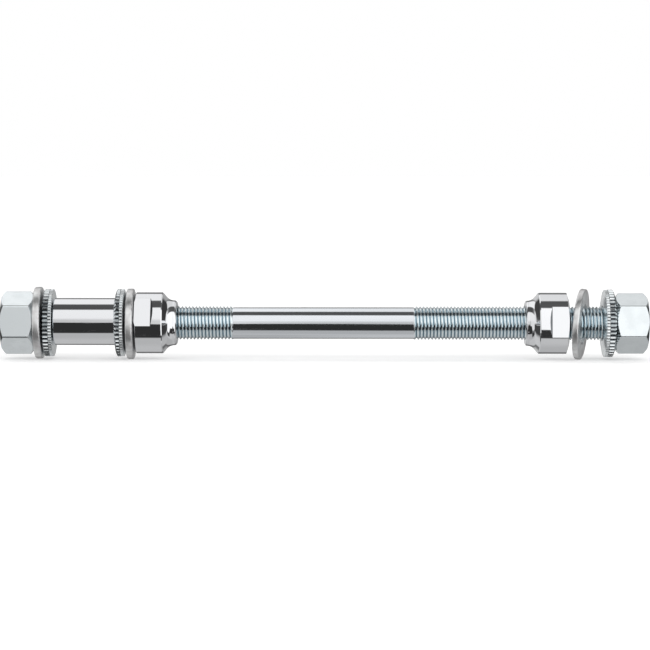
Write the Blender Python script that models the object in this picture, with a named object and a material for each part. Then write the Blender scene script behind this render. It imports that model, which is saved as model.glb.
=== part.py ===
"""Bicycle hub axle set: a threaded axle with its cones, spacer, locknuts, washers and axle nuts.

The axle lies along X, level, and the set rests on two of its washers, so Z = 0 is the surface
under it. X = 0 is the middle of the set. All lengths are in metres.
"""
import math

import bmesh
import bpy
from mathutils import Matrix, Vector

for old in list(bpy.data.objects):
    bpy.data.objects.remove(old, do_unlink=True)

MM = 0.001

# Axle
AXLE_LENGTH = 180.0 * MM
THREAD_DIAMETER = 9.525 * MM
THREAD_RADIUS = THREAD_DIAMETER / 2
THREAD_PITCH = 25.4 * MM / 26
LEFT_THREAD_LENGTH = 64.3 * MM
RIGHT_THREAD_LENGTH = 65.0 * MM
SHANK_STEP = 0.3125 * MM
THREAD_RUNOUT = 0.6 * THREAD_PITCH
AXLE_END_CHAMFER = THREAD_PITCH

# Clearances
SEAT_GAP = 0.3 * MM
BORE_CLEARANCE = 0.3 * MM
BORE_RADIUS = THREAD_RADIUS + BORE_CLEARANCE
OUTER_WASHER_CLEARANCE = 0.4375 * MM
HANGING_WASHER_CLEARANCE = 0.95 * MM
SPACER_CLEARANCE = 0.6875 * MM

# Hexagon axle nuts, whose outer ends stand out past the axle's ends
NUT_WIDTH = 9.0 * MM
NUT_OVERHANG = 0.9 * MM
NUT_BORE_CHAMFER = 0.4 * MM
NUT_LEFT_ACROSS_FLATS = 15.5 * MM
NUT_RIGHT_ACROSS_FLATS = 15.0 * MM
NUT_END_MARGIN = 0.15 * MM
NUT_CORNER_FALL = 1.05 * MM
NUT_LEFT_TURN = math.radians(5.6)
NUT_RIGHT_TURN = math.radians(8.2)

# Round toothed locknuts
LOCKNUT_RADIUS = 9.55 * MM
LOCKNUT_WIDTH = 3.3 * MM
LOCKNUT_BEVEL_WIDTH = 1.05 * MM
LOCKNUT_BEVEL_HEIGHT = 1.45 * MM
LOCKNUT_FINE_WIDTH = 0.85 * MM
LOCKNUT_FINE_STEP = 0.05 * MM
LOCKNUT_BACK_WIDTH = 0.55 * MM
LOCKNUT_BACK_HEIGHT = 2.45 * MM
LOCKNUT_COARSE_WIDTH = LOCKNUT_WIDTH - LOCKNUT_FINE_WIDTH - LOCKNUT_BACK_WIDTH
LOCKNUT_TEETH = 48
COARSE_TOOTH_DEPTH = 0.5 * MM
FINE_TOOTH_DEPTH = 0.22 * MM

# Spacer tube
SPACER_LENGTH = 16.0 * MM
SPACER_WALL = 1.23 * MM
SPACER_BORE_RADIUS = THREAD_RADIUS + SPACER_CLEARANCE
SPACER_RADIUS = SPACER_BORE_RADIUS + SPACER_WALL
SPACER_CHAMFER = 0.2 * MM
SPACER_RISE = 0.34 * MM

# Plain washers
OUTER_WASHER_RADIUS = 10.15 * MM
OUTER_WASHER_THICKNESS = 2.1 * MM
OUTER_WASHER_LEAN = math.radians(-0.8)
INNER_WASHER_RADIUS = 9.95 * MM
INNER_WASHER_THICKNESS = 2.0 * MM
INNER_WASHER_DROP = 0.3 * MM
LOOSE_WASHER_RADIUS = 10.0 * MM
LOOSE_WASHER_THICKNESS = 1.75 * MM
LOOSE_WASHER_CONE_GAP = 0.3 * MM
LOOSE_WASHER_YAW = math.radians(14.5)
LOOSE_WASHER_LEAN = math.radians(4.0)
WASHER_EDGE_RADIUS = 0.4 * MM

# Bearing cones
CONE_RADIUS = 8.64 * MM
CONE_FLAT_DEPTH = 1.14 * MM
CONE_NOSE_WALL = 1.3575 * MM
CONE_NOSE_RADIUS = BORE_RADIUS + CONE_NOSE_WALL
CONE_NOSE_ROUNDING = 0.9 * MM
CONE_RACE_RADIUS = 2.8 * MM
CONE_RACE_RISE = math.radians(50.0)
CONE_LEFT_LENGTH = 11.9 * MM
CONE_LEFT_FLAT = 4.6 * MM
CONE_LEFT_FLAT_TURN = math.radians(27.5)
CONE_LEFT_CHAMFER = (0.4 * MM, 0.6 * MM)
CONE_RIGHT_LENGTH = 12.8 * MM
CONE_RIGHT_FLAT = 5.0 * MM
CONE_RIGHT_FLAT_TURN = math.radians(6.0)
CONE_RIGHT_CHAMFER = (0.55 * MM, 1.7 * MM)
CONE_FLAT_RUNOUT = math.radians(58.0)
CONE_RIGHT_TO_LOCKNUT = 9.6 * MM

# Round pieces
TURN_STEPS = 48
RIM_ARC_STEPS = 2

# Places along the axle: each side is stacked inwards from the axle's end
AXLE_END = AXLE_LENGTH / 2
NUT_LEFT_FROM = -AXLE_END - NUT_OVERHANG
OUTER_WASHER_FROM = NUT_LEFT_FROM + NUT_WIDTH + SEAT_GAP
LOCKNUT_LEFT_FROM = OUTER_WASHER_FROM + OUTER_WASHER_THICKNESS + SEAT_GAP
SPACER_FROM = LOCKNUT_LEFT_FROM + LOCKNUT_WIDTH + SEAT_GAP
INNER_LOCKNUT_FROM = SPACER_FROM + SPACER_LENGTH + SEAT_GAP
INNER_WASHER_FROM = INNER_LOCKNUT_FROM + LOCKNUT_WIDTH + SEAT_GAP
CONE_LEFT_NOSE = INNER_WASHER_FROM + INNER_WASHER_THICKNESS + SEAT_GAP + CONE_LEFT_LENGTH
SHANK_FROM = -AXLE_END + LEFT_THREAD_LENGTH
SHANK_TO = AXLE_END - RIGHT_THREAD_LENGTH
NUT_RIGHT_FROM = AXLE_END + NUT_OVERHANG - NUT_WIDTH
LOCKNUT_RIGHT_FROM = NUT_RIGHT_FROM - SEAT_GAP - LOCKNUT_WIDTH
CONE_RIGHT_NOSE = LOCKNUT_RIGHT_FROM - CONE_RIGHT_TO_LOCKNUT - CONE_RIGHT_LENGTH

# The loose washer stands askew behind the right cone. Its half span along X follows its lean.
WASHER_ASKEW = math.acos(math.cos(LOOSE_WASHER_LEAN) * math.cos(LOOSE_WASHER_YAW))
LOOSE_WASHER_HALF_SPAN = (
    (LOOSE_WASHER_RADIUS - WASHER_EDGE_RADIUS) * math.sin(WASHER_ASKEW)
    + (LOOSE_WASHER_THICKNESS / 2 - WASHER_EDGE_RADIUS) * math.cos(WASHER_ASKEW)
    + WASHER_EDGE_RADIUS
)
CONE_RIGHT_BACK = CONE_RIGHT_NOSE + CONE_RIGHT_LENGTH
LOOSE_WASHER_AT = CONE_RIGHT_BACK + LOOSE_WASHER_CONE_GAP + LOOSE_WASHER_HALF_SPAN

# The washer that reaches lowest carries the set, so it sets the axle's height. The inner washer
# and the loose one stand on a corner of their turned rims, so each reaches down by its radius.
CORNER_DOWN = math.pi / TURN_STEPS
LOOSE_WASHER_REACH = (
    LOOSE_WASHER_RADIUS * math.cos(LOOSE_WASHER_LEAN)
    + (LOOSE_WASHER_THICKNESS / 2 - WASHER_EDGE_RADIUS) * math.sin(LOOSE_WASHER_LEAN)
)
AXIS_HEIGHT = max(
    INNER_WASHER_DROP + INNER_WASHER_RADIUS, OUTER_WASHER_RADIUS, LOOSE_WASHER_REACH
)

# The loose washer stands on the surface, or hangs on the thread where it can't reach so low.
LOOSE_WASHER_DROP = min(
    AXIS_HEIGHT - LOOSE_WASHER_REACH, HANGING_WASHER_CLEARANCE - BORE_CLEARANCE
)

COLOURS = {
    "bright_plate": ((0.80, 0.81, 0.82, 1.0), 0.12),
    "zinc_plate": ((0.62, 0.65, 0.68, 1.0), 0.30),
    "zinc_thread": ((0.50, 0.56, 0.60, 1.0), 0.30),
    "washer_zinc": ((0.58, 0.58, 0.58, 1.0), 0.34),
}


# Materials
def material(name):
    """A plated steel finish."""
    found = bpy.data.materials.get(name)
    if found:
        return found
    colour, roughness = COLOURS[name]
    made = bpy.data.materials.new(name)
    made.use_nodes = True
    shader = made.node_tree.nodes["Principled BSDF"]
    shader.inputs["Base Color"].default_value = colour
    shader.inputs["Metallic"].default_value = 1.0
    shader.inputs["Roughness"].default_value = roughness
    return made


# Turned shapes
def turned(profile, steps=TURN_STEPS, closed=True):
    """A turned shape about X from a profile of (x, radius) points.

    A closed profile makes a ring, and an open one, which starts and ends on the axis, a solid bar.
    The first and last points stand half a step off the top, so that a facet faces up and down.
    """
    shape = bmesh.new()
    half_step = math.pi / steps
    top = Vector((0.0, math.sin(half_step), math.cos(half_step)))
    points = [shape.verts.new(Vector((x, 0.0, 0.0)) + top * r) for x, r in profile]
    pairs = list(zip(points, points[1:]))
    if closed:
        pairs.append((points[-1], points[0]))
    edges = [shape.edges.new(pair) for pair in pairs]
    bmesh.ops.spin(
        shape,
        geom=points + edges,
        cent=(0.0, 0.0, 0.0),
        axis=(1.0, 0.0, 0.0),
        angle=math.tau,
        steps=steps,
        use_merge=True,
    )
    bmesh.ops.remove_doubles(shape, verts=shape.verts, dist=1e-7)
    bmesh.ops.recalc_face_normals(shape, faces=shape.faces)
    return shape


def piece(name, shape, finish, parent, at=(0.0, 0.0, 0.0), sharp=30.0):
    """Make an object of a shape, smooth where it is round, and hang it on its parent."""
    mesh = bpy.data.meshes.new(name)
    shape.to_mesh(mesh)
    shape.free()
    mesh.shade_smooth()
    mesh.set_sharp_from_angle(angle=math.radians(sharp))
    mesh.materials.append(material(finish))
    made = bpy.data.objects.new(name, mesh)
    bpy.context.collection.objects.link(made)
    made.parent = parent
    made.location = at
    return made


def carrier(name, x):
    """An empty on the axle's axis."""
    made = bpy.data.objects.new(name, None)
    made.empty_display_size = 0.01
    made.location = (x, 0.0, AXIS_HEIGHT)
    bpy.context.collection.objects.link(made)
    return made


def cutter_object(name, shape):
    """A hidden wire object that another one is cut by."""
    mesh = bpy.data.meshes.new(name)
    shape.to_mesh(mesh)
    shape.free()
    made = bpy.data.objects.new(name, mesh)
    bpy.context.collection.objects.link(made)
    made.hide_render = True
    made.display_type = "WIRE"
    return made


def cut(target, cutter, operation):
    """Cut the target by the cutter, or keep only what they share."""
    change = target.modifiers.new(cutter.name, "BOOLEAN")
    change.object = cutter
    change.operation = operation
    change.solver = "EXACT"


# Axle
def axle_profile():
    end = AXLE_END
    crest = THREAD_RADIUS
    shank = THREAD_RADIUS - SHANK_STEP
    return [
        (-end, 0.0),
        (-end, crest - AXLE_END_CHAMFER),
        (-end + AXLE_END_CHAMFER, crest),
        (SHANK_FROM - THREAD_RUNOUT, crest),
        (SHANK_FROM, shank),
        (SHANK_TO, shank),
        (SHANK_TO + THREAD_RUNOUT, crest),
        (end - AXLE_END_CHAMFER, crest),
        (end, crest - AXLE_END_CHAMFER),
        (end, 0.0),
    ]


# Plain washers
def washer(radius, clearance, thickness):
    """A stamped washer, centred on its own middle, with rounded rim edges."""
    half = thickness / 2
    bore_radius = THREAD_RADIUS + clearance
    rounding = WASHER_EDGE_RADIUS
    profile = [(-half, bore_radius)]
    for side in (-1, 1):
        arc = []
        for step in range(RIM_ARC_STEPS + 1):
            angle = math.radians(90.0) * step / RIM_ARC_STEPS
            x = half - rounding + rounding * math.cos(angle)
            r = radius - rounding + rounding * math.sin(angle)
            arc.append((side * x, r))
        profile += arc if side < 0 else arc[::-1]
    profile.append((half, bore_radius))
    return turned(profile)


# Round toothed locknuts
def locknut(toothed_side):
    """A round locknut, centred on its own middle; its teeth are on the -X or the +X side."""
    half = LOCKNUT_WIDTH / 2
    fine_from = LOCKNUT_COARSE_WIDTH + LOCKNUT_FINE_STEP
    fine_to = LOCKNUT_COARSE_WIDTH + LOCKNUT_FINE_WIDTH
    fine_radius = LOCKNUT_RADIUS - LOCKNUT_FINE_STEP
    face_radius = LOCKNUT_RADIUS - LOCKNUT_BEVEL_HEIGHT
    back_radius = LOCKNUT_RADIUS - LOCKNUT_BACK_HEIGHT
    profile = [
        (0.0, BORE_RADIUS),
        (0.0, face_radius),
        (LOCKNUT_BEVEL_WIDTH, LOCKNUT_RADIUS),
        (LOCKNUT_COARSE_WIDTH, LOCKNUT_RADIUS),
        (fine_from, fine_radius),
        (fine_to, fine_radius),
        (LOCKNUT_WIDTH, back_radius),
        (LOCKNUT_WIDTH, BORE_RADIUS),
    ]
    shape = turned([(x - half, r) for x, r in profile], steps=2 * LOCKNUT_TEETH)
    for vert in shape.verts:
        radius = math.hypot(vert.co.y, vert.co.z)
        along = vert.co.x + half
        if radius < back_radius + LOCKNUT_FINE_STEP:
            continue
        turn = math.atan2(vert.co.y, vert.co.z) / math.tau * 2 * LOCKNUT_TEETH
        if round(turn - 0.5) % 2:
            continue
        is_coarse = along < LOCKNUT_COARSE_WIDTH + LOCKNUT_FINE_STEP / 2
        depth = COARSE_TOOTH_DEPTH if is_coarse else FINE_TOOTH_DEPTH
        shrink = (radius - depth) / radius
        vert.co.y *= shrink
        vert.co.z *= shrink
    if toothed_side > 0:
        bmesh.ops.rotate(
            shape, verts=shape.verts, cent=(0, 0, 0), matrix=Matrix.Rotation(math.pi, 3, "Z")
        )
    return shape


# Spacer tube
def spacer():
    half = SPACER_LENGTH / 2
    c = SPACER_CHAMFER
    return turned(
        [
            (-half, SPACER_BORE_RADIUS + c),
            (-half, SPACER_RADIUS - c),
            (-half + c, SPACER_RADIUS),
            (half - c, SPACER_RADIUS),
            (half, SPACER_RADIUS - c),
            (half, SPACER_BORE_RADIUS + c),
            (half - c, SPACER_BORE_RADIUS),
            (-half + c, SPACER_BORE_RADIUS),
        ]
    )


# Hexagon axle nuts
def nut_blank(across_flats):
    """The turned blank: bored, with both ends chamfered down to a circle inside the flats."""
    half = NUT_WIDTH / 2
    end_radius = across_flats / 2 - NUT_END_MARGIN
    corner = across_flats / math.sqrt(3.0)
    slope = NUT_CORNER_FALL / (corner - end_radius)
    outside = corner + 0.3 * MM
    fall = slope * (outside - end_radius)
    return turned(
        [
            (-half, BORE_RADIUS + NUT_BORE_CHAMFER),
            (-half, end_radius),
            (-half + fall, outside),
            (half - fall, outside),
            (half, end_radius),
            (half, BORE_RADIUS + NUT_BORE_CHAMFER),
            (half - NUT_BORE_CHAMFER, BORE_RADIUS),
            (-half + NUT_BORE_CHAMFER, BORE_RADIUS),
        ]
    )


def hexagon_bar(across_flats):
    """A hexagon bar along X with a flat towards -Y."""
    shape = bmesh.new()
    bmesh.ops.create_cone(
        shape,
        cap_ends=True,
        segments=6,
        radius1=across_flats / math.sqrt(3.0),
        radius2=across_flats / math.sqrt(3.0),
        depth=NUT_WIDTH * 2,
    )
    bmesh.ops.rotate(
        shape, verts=shape.verts, cent=(0, 0, 0), matrix=Matrix.Rotation(math.pi / 2, 3, "Y")
    )
    flat_out = [f for f in shape.faces if abs(f.normal.x) < 0.5]
    lead = max(flat_out, key=lambda f: -f.normal.y)
    lean = math.atan2(lead.normal.z, -lead.normal.y)
    bmesh.ops.rotate(
        shape, verts=shape.verts, cent=(0, 0, 0), matrix=Matrix.Rotation(lean, 3, "X")
    )
    return shape


def axle_nut(name, parent, across_flats, turn):
    made = piece(name, nut_blank(across_flats), "zinc_plate", parent, sharp=20.0)
    bar = cutter_object(name + "_hexagon", hexagon_bar(across_flats))
    bar.parent = parent
    made.rotation_euler.x = -turn
    bar.rotation_euler.x = -turn
    cut(made, bar, "INTERSECT")
    return made


# Bearing cones
def cone_shape(length, chamfer, race_towards):
    """A bearing cone with its nose at X = 0 and its back at `length` away from the race side."""
    along, rise = chamfer
    profile = [(0.0, BORE_RADIUS)]
    nose_steps = 3
    for step in range(nose_steps + 1):
        angle = math.radians(90.0) * step / nose_steps
        x = CONE_NOSE_ROUNDING * (1 - math.cos(angle))
        r = CONE_NOSE_RADIUS - CONE_NOSE_ROUNDING * (1 - math.sin(angle))
        profile.append((x, r))
    race_steps = 5
    for step in range(1, race_steps + 1):
        angle = CONE_RACE_RISE * step / race_steps
        x = CONE_NOSE_ROUNDING + CONE_RACE_RADIUS * math.sin(angle)
        r = CONE_NOSE_RADIUS + CONE_RACE_RADIUS * (1 - math.cos(angle))
        profile.append((x, r))
    x, r = profile[-1]
    profile.append((x + (CONE_RADIUS - r) / math.tan(CONE_RACE_RISE), CONE_RADIUS))
    profile.append((length - along, CONE_RADIUS))
    profile.append((length, CONE_RADIUS - rise))
    profile.append((length, BORE_RADIUS))
    return turned([(race_towards * x, r) for x, r in profile])


def flat_cutter(length, flat, direction, side):
    """A wedge-ended block that mills one wrench flat from the back of a cone."""
    reach = CONE_RADIUS * 1.3
    low = CONE_RADIUS - CONE_FLAT_DEPTH
    runout = (reach - low) / math.tan(CONE_FLAT_RUNOUT)
    outline = [
        (length - flat, low),
        (length + 1.0 * MM, low),
        (length + 1.0 * MM, reach),
        (length - flat - runout, reach),
    ]
    shape = bmesh.new()
    width = 2 * CONE_RADIUS
    base = [shape.verts.new((direction * x, side * y, -width / 2)) for x, y in outline]
    face = shape.faces.new(base)
    grown = bmesh.ops.extrude_face_region(shape, geom=[face])
    moved = [g for g in grown["geom"] if isinstance(g, bmesh.types.BMVert)]
    bmesh.ops.translate(shape, verts=moved, vec=(0.0, 0.0, width))
    bmesh.ops.recalc_face_normals(shape, faces=shape.faces)
    return shape


def cone(name, parent, length, chamfer, flat, turn, direction):
    """A cone on its parent, whose race looks the other way from `direction`."""
    made = piece(name, cone_shape(length, chamfer, direction), "bright_plate", parent, sharp=25.0)
    made.rotation_euler.x = turn
    for side, label in ((-1, "_front_flat"), (1, "_back_flat")):
        cutter = cutter_object(name + label, flat_cutter(length, flat, direction, side))
        cutter.parent = parent
        cutter.rotation_euler.x = turn
        cut(made, cutter, "DIFFERENCE")
    return made


# The pieces in their places
axle_axis = carrier("axle_axis", 0.0)
piece("axle", turned(axle_profile(), closed=False), "zinc_thread", axle_axis)

left_nut_axis = carrier("left_nut_axis", NUT_LEFT_FROM + NUT_WIDTH / 2)
axle_nut("axle_nut_left", left_nut_axis, NUT_LEFT_ACROSS_FLATS, NUT_LEFT_TURN)

outer_washer_axis = carrier("outer_washer_axis", OUTER_WASHER_FROM + OUTER_WASHER_THICKNESS / 2)
outer_washer = piece(
    "outer_washer_left",
    washer(OUTER_WASHER_RADIUS, OUTER_WASHER_CLEARANCE, OUTER_WASHER_THICKNESS),
    "washer_zinc",
    outer_washer_axis,
)
outer_washer.rotation_euler.y = OUTER_WASHER_LEAN

stack_axis = carrier("left_stack_axis", 0.0)
piece(
    "locknut_left",
    locknut(-1),
    "zinc_plate",
    stack_axis,
    at=(LOCKNUT_LEFT_FROM + LOCKNUT_WIDTH / 2, 0.0, 0.0),
)
piece(
    "spacer_tube",
    spacer(),
    "bright_plate",
    stack_axis,
    at=(SPACER_FROM + SPACER_LENGTH / 2, 0.0, SPACER_RISE),
)
piece(
    "inner_locknut_left",
    locknut(-1),
    "zinc_plate",
    stack_axis,
    at=(INNER_LOCKNUT_FROM + LOCKNUT_WIDTH / 2, 0.0, 0.0),
)

inner_washer_axis = carrier("inner_washer_axis", INNER_WASHER_FROM + INNER_WASHER_THICKNESS / 2)
inner_washer = piece(
    "inner_washer_left",
    washer(INNER_WASHER_RADIUS, HANGING_WASHER_CLEARANCE, INNER_WASHER_THICKNESS),
    "washer_zinc",
    inner_washer_axis,
    at=(0.0, 0.0, -INNER_WASHER_DROP),
)
inner_washer.rotation_euler.x = CORNER_DOWN

left_cone_axis = carrier("left_cone_axis", CONE_LEFT_NOSE)
cone(
    "cone_left",
    left_cone_axis,
    CONE_LEFT_LENGTH,
    CONE_LEFT_CHAMFER,
    CONE_LEFT_FLAT,
    -CONE_LEFT_FLAT_TURN,
    -1,
)

right_cone_axis = carrier("right_cone_axis", CONE_RIGHT_NOSE)
cone(
    "cone_right",
    right_cone_axis,
    CONE_RIGHT_LENGTH,
    CONE_RIGHT_CHAMFER,
    CONE_RIGHT_FLAT,
    -CONE_RIGHT_FLAT_TURN,
    1,
)

loose_washer_axis = carrier("loose_washer_axis", LOOSE_WASHER_AT)
loose_washer = piece(
    "loose_washer_right",
    washer(LOOSE_WASHER_RADIUS, HANGING_WASHER_CLEARANCE, LOOSE_WASHER_THICKNESS),
    "washer_zinc",
    loose_washer_axis,
    at=(0.0, 0.0, -LOOSE_WASHER_DROP),
)
loose_washer.rotation_euler = (CORNER_DOWN, LOOSE_WASHER_LEAN, -LOOSE_WASHER_YAW)

right_locknut_axis = carrier("right_locknut_axis", LOCKNUT_RIGHT_FROM + LOCKNUT_WIDTH / 2)
piece("locknut_right", locknut(1), "zinc_plate", right_locknut_axis)

right_nut_axis = carrier("right_nut_axis", NUT_RIGHT_FROM + NUT_WIDTH / 2)
axle_nut("axle_nut_right", right_nut_axis, NUT_RIGHT_ACROSS_FLATS, NUT_RIGHT_TURN)
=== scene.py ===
# %% [markdown]
# # A bicycle hub axle in zinc and chrome
# The set is a threaded axle that carries two bearing cones, a spacer tube, toothed locknuts, plain
# washers and two hexagon nuts. Its solids are already packed at their real size, so this lesson
# starts by loading them. Every new piece below takes its place from the solid that it stands for.

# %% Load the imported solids
import math

import bmesh
import bpy
from mathutils import Matrix, Vector


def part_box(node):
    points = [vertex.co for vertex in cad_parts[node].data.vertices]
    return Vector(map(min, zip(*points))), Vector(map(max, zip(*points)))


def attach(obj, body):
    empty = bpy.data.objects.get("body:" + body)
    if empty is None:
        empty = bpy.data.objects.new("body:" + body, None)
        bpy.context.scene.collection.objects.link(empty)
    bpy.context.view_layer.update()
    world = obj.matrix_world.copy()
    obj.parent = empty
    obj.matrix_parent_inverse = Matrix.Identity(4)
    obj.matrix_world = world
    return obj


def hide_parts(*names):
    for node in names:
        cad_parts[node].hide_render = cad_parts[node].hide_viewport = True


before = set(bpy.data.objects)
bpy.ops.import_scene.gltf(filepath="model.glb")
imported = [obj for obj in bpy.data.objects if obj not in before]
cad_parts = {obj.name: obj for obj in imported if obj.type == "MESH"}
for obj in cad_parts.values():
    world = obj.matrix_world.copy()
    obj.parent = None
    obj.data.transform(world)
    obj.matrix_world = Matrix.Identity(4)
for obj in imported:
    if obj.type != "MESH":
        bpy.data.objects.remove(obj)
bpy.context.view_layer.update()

MM = 0.001
axle_low, axle_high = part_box("axle")
AXIS_HEIGHT = (axle_low.z + axle_high.z) / 2
print("pieces:", len(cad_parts), "axis height in mm:", round(AXIS_HEIGHT / MM, 3))

# %% [markdown]
# ## Camera
# The photograph looks at the set from the front and 4 degrees above it, with a long lens. A real
# size per pixel at the axle, 0.2825 mm, and the distance fix the lens. The left end stands almost
# a pixel higher than the right one, so the camera is rolled by a small angle. It could be set by
# eye in the viewport, but a computed lens stays right when the distance is changed.

# %% Camera
PHOTO_PIXELS = 650
MM_PER_PIXEL = 0.2825 * MM
CAMERA_DISTANCE = 0.68
CAMERA_ELEVATION = math.radians(4.0)
CAMERA_ROLL = math.radians(0.075)
VIEW_CENTRE = Vector((0.1 * MM, 0.0, AXIS_HEIGHT - 0.57 * MM))

camera_data = bpy.data.cameras.new("photo_camera")
camera_data.sensor_width = 36.0
camera_data.lens = camera_data.sensor_width * CAMERA_DISTANCE / (PHOTO_PIXELS * MM_PER_PIXEL)
camera_data.clip_start = 0.01
camera = bpy.data.objects.new("photo_camera", camera_data)
bpy.context.collection.objects.link(camera)
towards_camera = Vector((0.0, -math.cos(CAMERA_ELEVATION), math.sin(CAMERA_ELEVATION)))
aim = Matrix.Rotation(math.pi / 2 - CAMERA_ELEVATION, 4, "X") @ Matrix.Rotation(CAMERA_ROLL, 4, "Z")
camera.matrix_world = Matrix.Translation(VIEW_CENTRE + towards_camera * CAMERA_DISTANCE) @ aim
bpy.context.scene.camera = camera
bpy.context.scene.view_settings.view_transform = "Standard"
print("lens in mm:", round(camera_data.lens, 1))

# %% [markdown]
# ## Studio helpers
# Bright metal shows little of itself and much of what stands round it. A photographer lights such
# a piece with long soft panels and leaves dark gaps between them, which draw the crisp bands on a
# cylinder. Area lamps could stand in for the panels. Here the world holds them instead, as light
# and dark by direction, because things that lie far away keep their angle on every piece. These
# helpers let such a pattern be written as short steps of maths and colour nodes.

# %% Studio helpers
def turn_of(degrees):
    """An angle in degrees as a share of a full turn."""
    return degrees / 360.0


def grey(brightness):
    return (brightness, brightness, brightness, 1.0)


def ramp_of(tree, stops, low, high):
    """A colour ramp whose stops are (value, brightness) pairs between low and high."""
    ramp = tree.nodes.new("ShaderNodeValToRGB")
    points = ramp.color_ramp.elements
    while len(points) < len(stops):
        points.new(0.5)
    for point, (value, brightness) in zip(points, stops):
        point.position = (value - low) / (high - low)
    for point, (value, brightness) in zip(points, stops):
        point.color = grey(brightness)
    return ramp


def math_node(tree, operation, first, second=None):
    """A maths node fed by sockets or numbers; it returns its output."""
    node = tree.nodes.new("ShaderNodeMath")
    node.operation = operation
    for slot, value in enumerate((first, second)):
        if value is None:
            continue
        if isinstance(value, (int, float)):
            node.inputs[slot].default_value = value
        else:
            tree.links.new(value, node.inputs[slot])
    return node.outputs[0]


def map_range(tree, value, from_min, from_max, to_min=0.0, to_max=1.0, shape="SMOOTHSTEP"):
    """A value carried from one range to another, with a smooth step unless shape says LINEAR."""
    node = tree.nodes.new("ShaderNodeMapRange")
    node.interpolation_type = shape
    tree.links.new(value, node.inputs["Value"])
    node.inputs["From Min"].default_value = from_min
    node.inputs["From Max"].default_value = from_max
    node.inputs["To Min"].default_value = to_min
    node.inputs["To Max"].default_value = to_max
    return node.outputs["Result"]


def mixed(tree, factor, first, second, blend="MIX"):
    """A colour mix; each entry is a socket, a number or a colour."""
    node = tree.nodes.new("ShaderNodeMix")
    node.data_type = "RGBA"
    node.blend_type = blend
    for socket, value in ((node.inputs[0], factor), (node.inputs[6], first), (node.inputs[7], second)):
        if isinstance(value, bpy.types.NodeSocket):
            tree.links.new(value, socket)
        else:
            socket.default_value = value
    return node.outputs[2]


print("one degree in turns:", round(turn_of(1.0), 5))

# %% [markdown]
# ## Light bands
# An angle round the axle, 0 towards the camera and 90 overhead, picks the brightness. In front
# stands a bright panel, and a second one above and behind, with a dark gap overhead between them.
# It is dark behind and low in front, and a grey light comes from the floor. Rows of area lamps
# could do this, but a ramp of stops is quicker to change. A haze lifts the dark parts at the sides.

# %% Light bands
PANELS = [
    (-180.0, 0.15), (-141.0, 0.15), (-137.0, 0.50), (-57.0, 0.53), (-53.0, 0.033), (-1.5, 0.033),
    (1.5, 1.00), (61.0, 1.04), (65.0, 0.09), (94.0, 0.09), (99.0, 0.88), (142.0, 0.86),
    (148.0, 0.13), (180.0, 0.15),
]
SIDE_HAZE = 0.24

world = bpy.data.worlds.new("studio")
world.use_nodes = True
bpy.context.scene.world = world
sky = world.node_tree
sky.nodes.clear()
direction = sky.nodes.new("ShaderNodeTexCoord").outputs["Generated"]
parts = sky.nodes.new("ShaderNodeSeparateXYZ")
sky.links.new(direction, parts.inputs[0])
dir_x, dir_y, dir_z = parts.outputs
front = math_node(sky, "MULTIPLY", dir_y, -1.0)
sideways = math_node(sky, "ABSOLUTE", dir_x)
angle = math_node(sky, "ARCTAN2", dir_z, front)
part_turn = math_node(sky, "MULTIPLY", angle, 1.0 / math.tau)
bands = ramp_of(sky, PANELS, -180.0, 180.0)
sky.links.new(math_node(sky, "ADD", part_turn, 0.5), bands.inputs[0])
haze = map_range(sky, sideways, 0.5, 0.7, 0.0, SIDE_HAZE)
lit_bands = math_node(sky, "MAXIMUM", bands.outputs[0], haze)
print("light bands:", len(PANELS) // 2)

# %% [markdown]
# ## Cards in front
# The dark card low in front isn't level. Its upper edge sinks towards the right and at both ends,
# and light fills what it leaves free. So the cones and the bar show bright and dark bands of
# different heights under the same lights, as in the photograph. A small dark card stands lower at
# the sides, and a short bright strip low in the middle. Level cards would need fewer nodes, but
# the spacer, the shank and the cones would then all show the same stripes.

# %% Cards in front
CARD_EDGE_MIDDLE = turn_of(-9.0)
CARD_EDGE_SLANT = turn_of(-130.0)
CARD_EDGE_HIGHEST = turn_of(-1.5)
CARD_EDGE_LOWEST = turn_of(-26.0)
CARD_LEFT_DROP = turn_of(10.0)
CARD_END_DROP = turn_of(30.0)
CARD_EDGE_BLUR = turn_of(1.0)
FILL_LEFT = 0.66
FILL_RIGHT = 1.0
FILL_SIDES = 0.9
LOW_CARD_LEVEL = 0.05
SHORT_STRIP_LEVEL = 0.7

card_edge = math_node(sky, "MULTIPLY", dir_x, CARD_EDGE_SLANT)
card_edge = math_node(sky, "ADD", card_edge, CARD_EDGE_MIDDLE)
card_edge = math_node(sky, "MINIMUM", card_edge, CARD_EDGE_HIGHEST)
card_edge = math_node(sky, "MAXIMUM", card_edge, CARD_EDGE_LOWEST)
left_drop = map_range(sky, dir_x, -0.35, -0.15, CARD_LEFT_DROP, 0.0)
card_edge = math_node(sky, "SUBTRACT", card_edge, left_drop)
end_drop = map_range(sky, sideways, 0.50, 0.68, 0.0, CARD_END_DROP)
card_edge = math_node(sky, "SUBTRACT", card_edge, end_drop)
over_edge = math_node(sky, "SUBTRACT", part_turn, card_edge)
over_card = map_range(sky, over_edge, -CARD_EDGE_BLUR, CARD_EDGE_BLUR)
under_panel = map_range(sky, part_turn, turn_of(8.0), turn_of(22.0), 1.0, 0.0)
fill = math_node(sky, "MULTIPLY", over_card, under_panel)
fill_level = map_range(sky, dir_x, -0.12, 0.04, FILL_LEFT, FILL_RIGHT)
fill_sides = map_range(sky, sideways, 0.2, 0.4, 0.0, FILL_SIDES)
fill_level = math_node(sky, "MAXIMUM", fill_level, fill_sides)

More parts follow.
